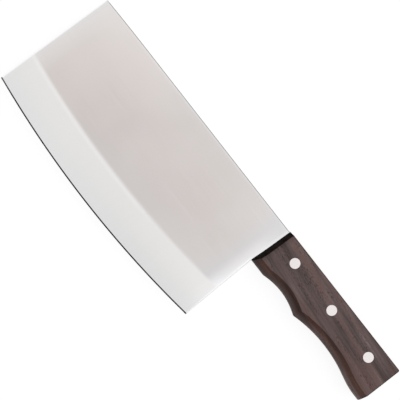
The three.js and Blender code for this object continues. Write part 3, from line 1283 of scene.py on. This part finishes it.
@dataclass(frozen=True)
class Studio:
    """A white floor under a soft overhead light, and a camera that looks straight down."""

    axes: KnifeAxes
    camera_height: float = 700 * MM
    view_width: float = 293.3 * MM
    view_centre: tuple[float, float] = (-59.0 * MM, -37.3 * MM)
    roll: float = math.radians(52.01)
    sensor: float = 36.0
    floor_size: float = 8.0
    floor_grey: Colour = (0.17, 0.17, 0.17, 1)
    floor_glow: float = 0.88
    floor_bounce: Colour = (0.8, 0.8, 0.8, 1)
    white: Colour = (1, 1, 1, 1)
    ceiling: tuple[tuple[float, float], ...] = (
        (0.0, 0.95), (0.25, 0.85), (0.5, 0.75), (0.75, 0.62), (0.86, 0.52), (0.93, 0.98), (1.0, 0.98),
    )
    panel_slant: float = -0.8
    panel_start: Fade = Fade(-0.24, -0.15)
    panel_end: Fade = Fade(0.058, 0.09, 1.0, 0.0)
    panel_middle: float = 0.01
    panel_side: Fade = Fade(0.055, 0.085, 1.0, 0.0)
    panel_across: Fade = Fade(-0.055, 0.06)
    panel_low: Colour = (0.822, 0.747, 0.729, 1)
    panel_high: Colour = (0.891, 0.8245, 0.801, 1)
    heel_glow: Fade = Fade(0.07, 0.1, 1.0, 1.08)
    flag_side: Fade = Fade(0.3, 0.5, 1.0, 0.0)
    flag_middle: float = -0.52
    flag_across: Fade = Fade(0.12, 0.28, 1.0, 0.0)
    flag_density: float = 0.94
    low_side: Fade = Fade(-0.8, -0.25, 0.72, 1.0)
    key_power: float = 13.5
    key_size: float = 2.2
    key_place: tuple[float, float, float] = (1.05, 1.0, 1.3)

    def camera(self) -> None:
        """Sets the camera over the knife, with the view's width at the blade."""
        data = bpy.data.cameras.new("camera")
        data.sensor_width = self.sensor
        data.lens = self.sensor * self.camera_height / self.view_width
        camera = bpy.data.objects.new("camera", data)
        camera.location = self.axes.origin + (*self.view_centre, self.camera_height)
        camera.rotation_euler = (0, 0, self.roll)
        bpy.context.scene.collection.objects.link(camera)
        bpy.context.scene.camera = camera

    def floor(self) -> None:
        """Lays a white floor that keeps a faint shadow."""
        half = self.floor_size / 2
        corners = np.array([[-half, -half, 0], [half, -half, 0], [half, half, 0], [-half, half, 0]])
        mesh = bpy.data.meshes.new("floor")
        mesh.from_pydata(corners.tolist(), [], [(0, 1, 2, 3)])
        material, graph = new_material("white_floor")
        path = graph.add("ShaderNodeLightPath")
        seen = graph.math("MAXIMUM", path.outputs["Is Camera Ray"], path.outputs["Is Glossy Ray"])
        seen = graph.math("MAXIMUM", seen, path.outputs["Is Transmission Ray"])
        matt = graph.add("ShaderNodeBsdfDiffuse", {"Color": self.floor_grey})
        glow = graph.add("ShaderNodeEmission", {"Color": self.white, "Strength": self.floor_glow})
        white = graph.add("ShaderNodeAddShader", {0: matt.outputs[0], 1: glow.outputs[0]})
        bounce = graph.add("ShaderNodeBsdfDiffuse", {"Color": self.floor_bounce})
        mixed = graph.add("ShaderNodeMixShader", {0: seen, 1: bounce.outputs[0], 2: white.outputs[0]})
        graph.add("ShaderNodeOutputMaterial", {"Surface": mixed.outputs[0]})
        mesh.materials.append(material)
        floor = bpy.data.objects.new("floor", mesh)
        bpy.context.scene.collection.objects.link(floor)

    def sky(self) -> None:
        """Adds the room's light: a bright ceiling with a warm, darker panel, and a dark flag over the edge.

        The level follows the height of the direction. The panel is a slanted four-sided patch of directions
        near the zenith, and the flag is a patch that takes light away.
        """
        world = bpy.data.worlds.new("studio")
        world.use_nodes = True
        bpy.context.scene.world = world
        graph = Graph(world.node_tree)
        x, y, z = graph.parts(graph.add("ShaderNodeTexCoord").outputs["Generated"])
        ceiling = graph.ramp(z, tuple((height, (level, level, level, 1)) for height, level in self.ceiling))
        panel = graph.product(
            graph.fade(graph.math("MULTIPLY_ADD", y, self.panel_slant, x), self.panel_start),
            graph.fade(x, self.panel_end),
            graph.fade(graph.math("ABSOLUTE", graph.math("SUBTRACT", y, self.panel_middle)), self.panel_side),
        )
        warmth = graph.blend(graph.fade(y, self.panel_across), self.panel_low, self.panel_high)
        flag = graph.product(
            graph.fade(graph.math("ABSOLUTE", x), self.flag_side),
            graph.fade(graph.math("ABSOLUTE", graph.math("SUBTRACT", y, self.flag_middle)), self.flag_across),
        )
        level = graph.product(
            graph.math("MULTIPLY_ADD", flag, -self.flag_density, 1.0),
            graph.fade(x, self.heel_glow),
            graph.fade(y, self.low_side),
        )
        lit = graph.tint(ceiling, graph.blend(panel, self.white, warmth))
        glow = graph.add("ShaderNodeBackground", {"Color": graph.shade(lit, level), "Strength": 1.0})
        graph.add("ShaderNodeOutputWorld", {"Surface": glow.outputs[0]})

    def key_lamp(self) -> None:
        """Adds one large lamp behind the spine, which reflections don't show."""
        data = bpy.data.lights.new("key", "AREA")
        data.energy = self.key_power
        data.size = self.key_size
        key = bpy.data.objects.new("key", data)
        key.visible_glossy = False
        key.location = self.key_place
        towards = key.location.normalized()
        key.rotation_mode = "QUATERNION"
        key.rotation_quaternion = towards.to_track_quat("Z", "Y")
        bpy.context.scene.collection.objects.link(key)

    def build(self) -> None:
        """Sets up the camera, the floor, the lights and the plain view of colours."""
        self.camera()
        self.floor()
        self.sky()
        self.key_lamp()
        bpy.context.scene.view_settings.view_transform = "Standard"


def hand_over(piece: bpy.types.Object, node: str) -> None:
    """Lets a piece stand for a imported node, on the knife's one body.

    Args:
        piece: The finished piece.
        node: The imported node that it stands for.
    """
    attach(piece, BODY)
    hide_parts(node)
    LOG.info("%s stands for %s, %d faces", piece.name, node, len(piece.data.polygons))


def rivet_centres(axes: KnifeAxes, names: tuple[str, ...]) -> Array:
    """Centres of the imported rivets, at the height of the plate's middle.

    Args:
        axes: The knife's axes.
        names: The rivets' names.

    Returns:
        One row for each rivet.
    """
    boxes = [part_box(f"{name}_rivet_pin") for name in names]
    centres = np.array([(low + high) / 2 for low, high in boxes])
    centres[:, 2] = axes.origin[2]
    return centres


def main() -> None:
    """Builds the knife, piece by piece, and its studio."""
    logging.basicConfig(level=logging.INFO, format="%(message)s")
    axes = KnifeAxes.from_frame()
    blade_low, blade_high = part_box("blade")
    scale_low, scale_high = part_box("front_scale")
    pin_low, pin_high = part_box("front_rivet_pin")
    front, spine, middle = axes.origin
    names = ("front", "middle", "rear")
    centres = rivet_centres(axes, names)
    head_diameter = pin_high.x - pin_low.x
    shank_hole = Rivet.tube_diameter + 2 * Rivet.clearance
    face_height = scale_high.z - middle
    handle = Handle(length=scale_high.x - front)

    blade = Blade(
        axes=axes,
        handle=handle,
        height=spine - blade_low.y,
        thickness=blade_high.z - blade_low.z,
        rivet_centres=centres,
        shank_hole=shank_hole,
    )
    blade.dress(blade.build(), SteelFinish(front, spine))

    wood = WoodFinish("oiled_rosewood", front, spine, middle).material()
    # The front end grain is coloured almost black, partly as painted shade.
    front_end_grain = WoodFinish("dark_front_end_grain", front, spine, middle, shade=0.16, roughness=0.8, specular=0.02)
    # The butt's end grain also covers its rounded rim, where its darkness is painted shade.
    cut = WoodFinish("rosewood_end_grain", front, spine, middle, shade=0.27, roughness=0.6, specular=0.15)
    front_end, butt_end = front_end_grain.material(), cut.material()
    for side in Side:
        scale = Scale(
            axes=axes,
            handle=handle,
            side=side,
            face_height=face_height,
            seat_height=scale_low.z - middle,
            rivet_centres=centres,
            shank_hole=shank_hole,
            recess_diameter=head_diameter + 2 * Rivet.clearance,
            recess_depth=Rivet.head_depth + Rivet.clearance,
        )
        scale.dress(scale.build(), wood, front_end, butt_end)

    metal = RivetFinish().material()
    for name, centre in zip(names, centres):
        for half in RivetHalf:
            rivet = Rivet(name, half, centre, head_diameter, face_height)
            rivet.dress(rivet.build(), metal)

    Studio(axes).build()


if __name__ == "__main__":
    main()
